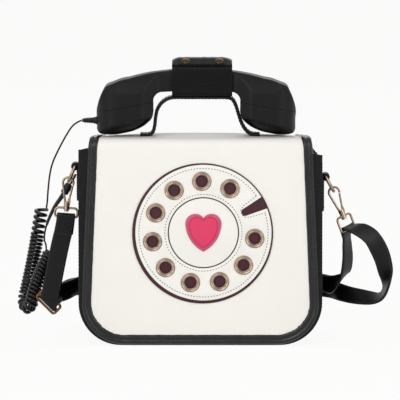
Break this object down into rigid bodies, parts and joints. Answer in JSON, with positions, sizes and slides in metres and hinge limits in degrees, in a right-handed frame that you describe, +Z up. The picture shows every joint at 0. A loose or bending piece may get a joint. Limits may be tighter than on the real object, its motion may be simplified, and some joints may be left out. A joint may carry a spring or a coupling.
{
  "type": "telephone-shaped crossbody bag",
  "caption": "Crossbody flap bag shaped like a dial telephone: sewn dial with a heart, corded handset strapped on the top handle, curly cord, shoulder strap with snap hooks.",
  "frame": {"origin": "middle of the base, on the floor", "axes": "+X to the viewer's right, +Y towards the back, +Z up; the flap's front faces -Y"},
  "size_m": [0.3739, 0.1006, 0.2847],
  "materials": {
    "black_leather": "satin",
    "white_leather": "satin",
    "burgundy_leather": "satin",
    "rose_leather": "satin",
    "pink_leather": "satin",
    "lining_cloth": "matt woven",
    "gold_metal": "polished rose gold",
    "magnet_steel": "plain",
    "black_plastic": "matt",
    "capsule_plastic": "matt",
    "cord_plastic": "gloss",
    "boot_rubber": "matt"
  },
  "bodies": {
    "bag": {"front_panel": "black_leather", "body_magnet": "magnet_steel", "back_panel": "black_leather", "gusset": "black_leather", "lining": "lining_cloth", "hinge_welt": "black_leather", "side_tab_left": "black_leather", "strap_loop_left": "gold_metal", "side_tab_right": "black_leather", "strap_loop_right": "gold_metal", "shoulder_strap": "black_leather", "strap_slider": "gold_metal", "curly_cord": "cord_plastic", "cord_lead": "cord_plastic", "cord_tail": "cord_plastic", "plug_boot": "boot_rubber", "plug_body": "black_plastic", "plug_jack": "gold_metal"},
    "flap": {"flap_panel": "white_leather", "flap_lining": "lining_cloth", "flap_binding": "black_leather", "flap_magnet": "magnet_steel", "dial_base": "burgundy_leather", "dial_ring": "white_leather", "dial_centre": "white_leather", "dial_eyelets": "gold_metal", "heart_base": "rose_leather", "heart_top": "pink_leather", "top_handle": "black_leather", "holder_cradle": "black_leather"},
    "holder_flap": {"holder_rear_flap": "black_leather", "snap_caps": "gold_metal"},
    "holder_tab": {"holder_front_tab": "black_leather", "snap_studs": "gold_metal"},
    "handset": {"handset_shell": "black_plastic", "ear_cap": "black_plastic", "mouth_cap": "black_plastic", "receiver_capsule": "capsule_plastic", "microphone_capsule": "capsule_plastic", "cord_boot": "boot_rubber"},
    "ring_left": {"d_ring_left": "gold_metal"},
    "hook_left": {"snap_hook_left": "gold_metal"},
    "gate_left": {"hook_gate_left": "gold_metal"},
    "ring_right": {"d_ring_right": "gold_metal"},
    "hook_right": {"snap_hook_right": "gold_metal"},
    "gate_right": {"hook_gate_right": "gold_metal"}
  },
  "joints": [
    {"name": "flap_hinge", "type": "hinge", "parent": "bag", "child": "flap", "pos_m": [0, 0.0398, 0.2044], "axis": [-1, 0, 0], "range_deg": [0, 105]},
    {"name": "holder_flap_hinge", "type": "hinge", "parent": "flap", "child": "holder_flap", "pos_m": [0, 0.0169, 0.2624], "axis": [-1, 0, 0], "range_deg": [0, 150]},
    {"name": "holder_tab_hinge", "type": "hinge", "parent": "flap", "child": "holder_tab", "pos_m": [0, -0.0169, 0.2624], "axis": [1, 0, 0], "range_deg": [0, 105.01]},
    {"name": "handset_lift", "type": "slide", "parent": "flap", "child": "handset", "axis": [0, 0, 1], "range_m": [0, 0.0183]},
    {"name": "ring_left_swing", "type": "hinge", "parent": "bag", "child": "ring_left", "pos_m": [-0.12506, 0, 0.1755], "axis": [0, 1, 0], "range_deg": [-4, 4]},
    {"name": "hook_left_swivel", "type": "hinge", "parent": "bag", "child": "hook_left", "pos_m": [-0.13366, 0, 0.13583], "axis": [0.0698, 0, 0.9976], "range_deg": [-25, 25]},
    {"name": "gate_left_hinge", "type": "hinge", "parent": "hook_left", "child": "gate_left", "pos_m": [-0.13118, 0, 0.14167], "axis": [0, -1, 0], "range_deg": [0, 28], "stiffness_Nm_per_rad": 0.02, "springref_deg": -17.19},
    {"name": "ring_right_swing", "type": "hinge", "parent": "bag", "child": "ring_right", "pos_m": [0.12506, 0, 0.165], "axis": [0, 1, 0], "range_deg": [-4, 4]},
    {"name": "hook_right_swivel", "type": "hinge", "parent": "bag", "child": "hook_right", "pos_m": [0.14197, 0, 0.12754], "axis": [-0.3584, 0, 0.9336], "range_deg": [-25, 25]},
    {"name": "gate_right_hinge", "type": "hinge", "parent": "hook_right", "child": "gate_right", "pos_m": [0.14176, 0, 0.13388], "axis": [0, -1, 0], "range_deg": [0, 28], "stiffness_Nm_per_rad": 0.02, "springref_deg": -17.19}
  ],
  "couplings": [
    {"joint": "holder_flap_hinge", "follows": "handset_lift", "rad_per_m": 142.86},
    {"joint": "holder_tab_hinge", "follows": "handset_lift", "rad_per_m": 100}
  ]
}
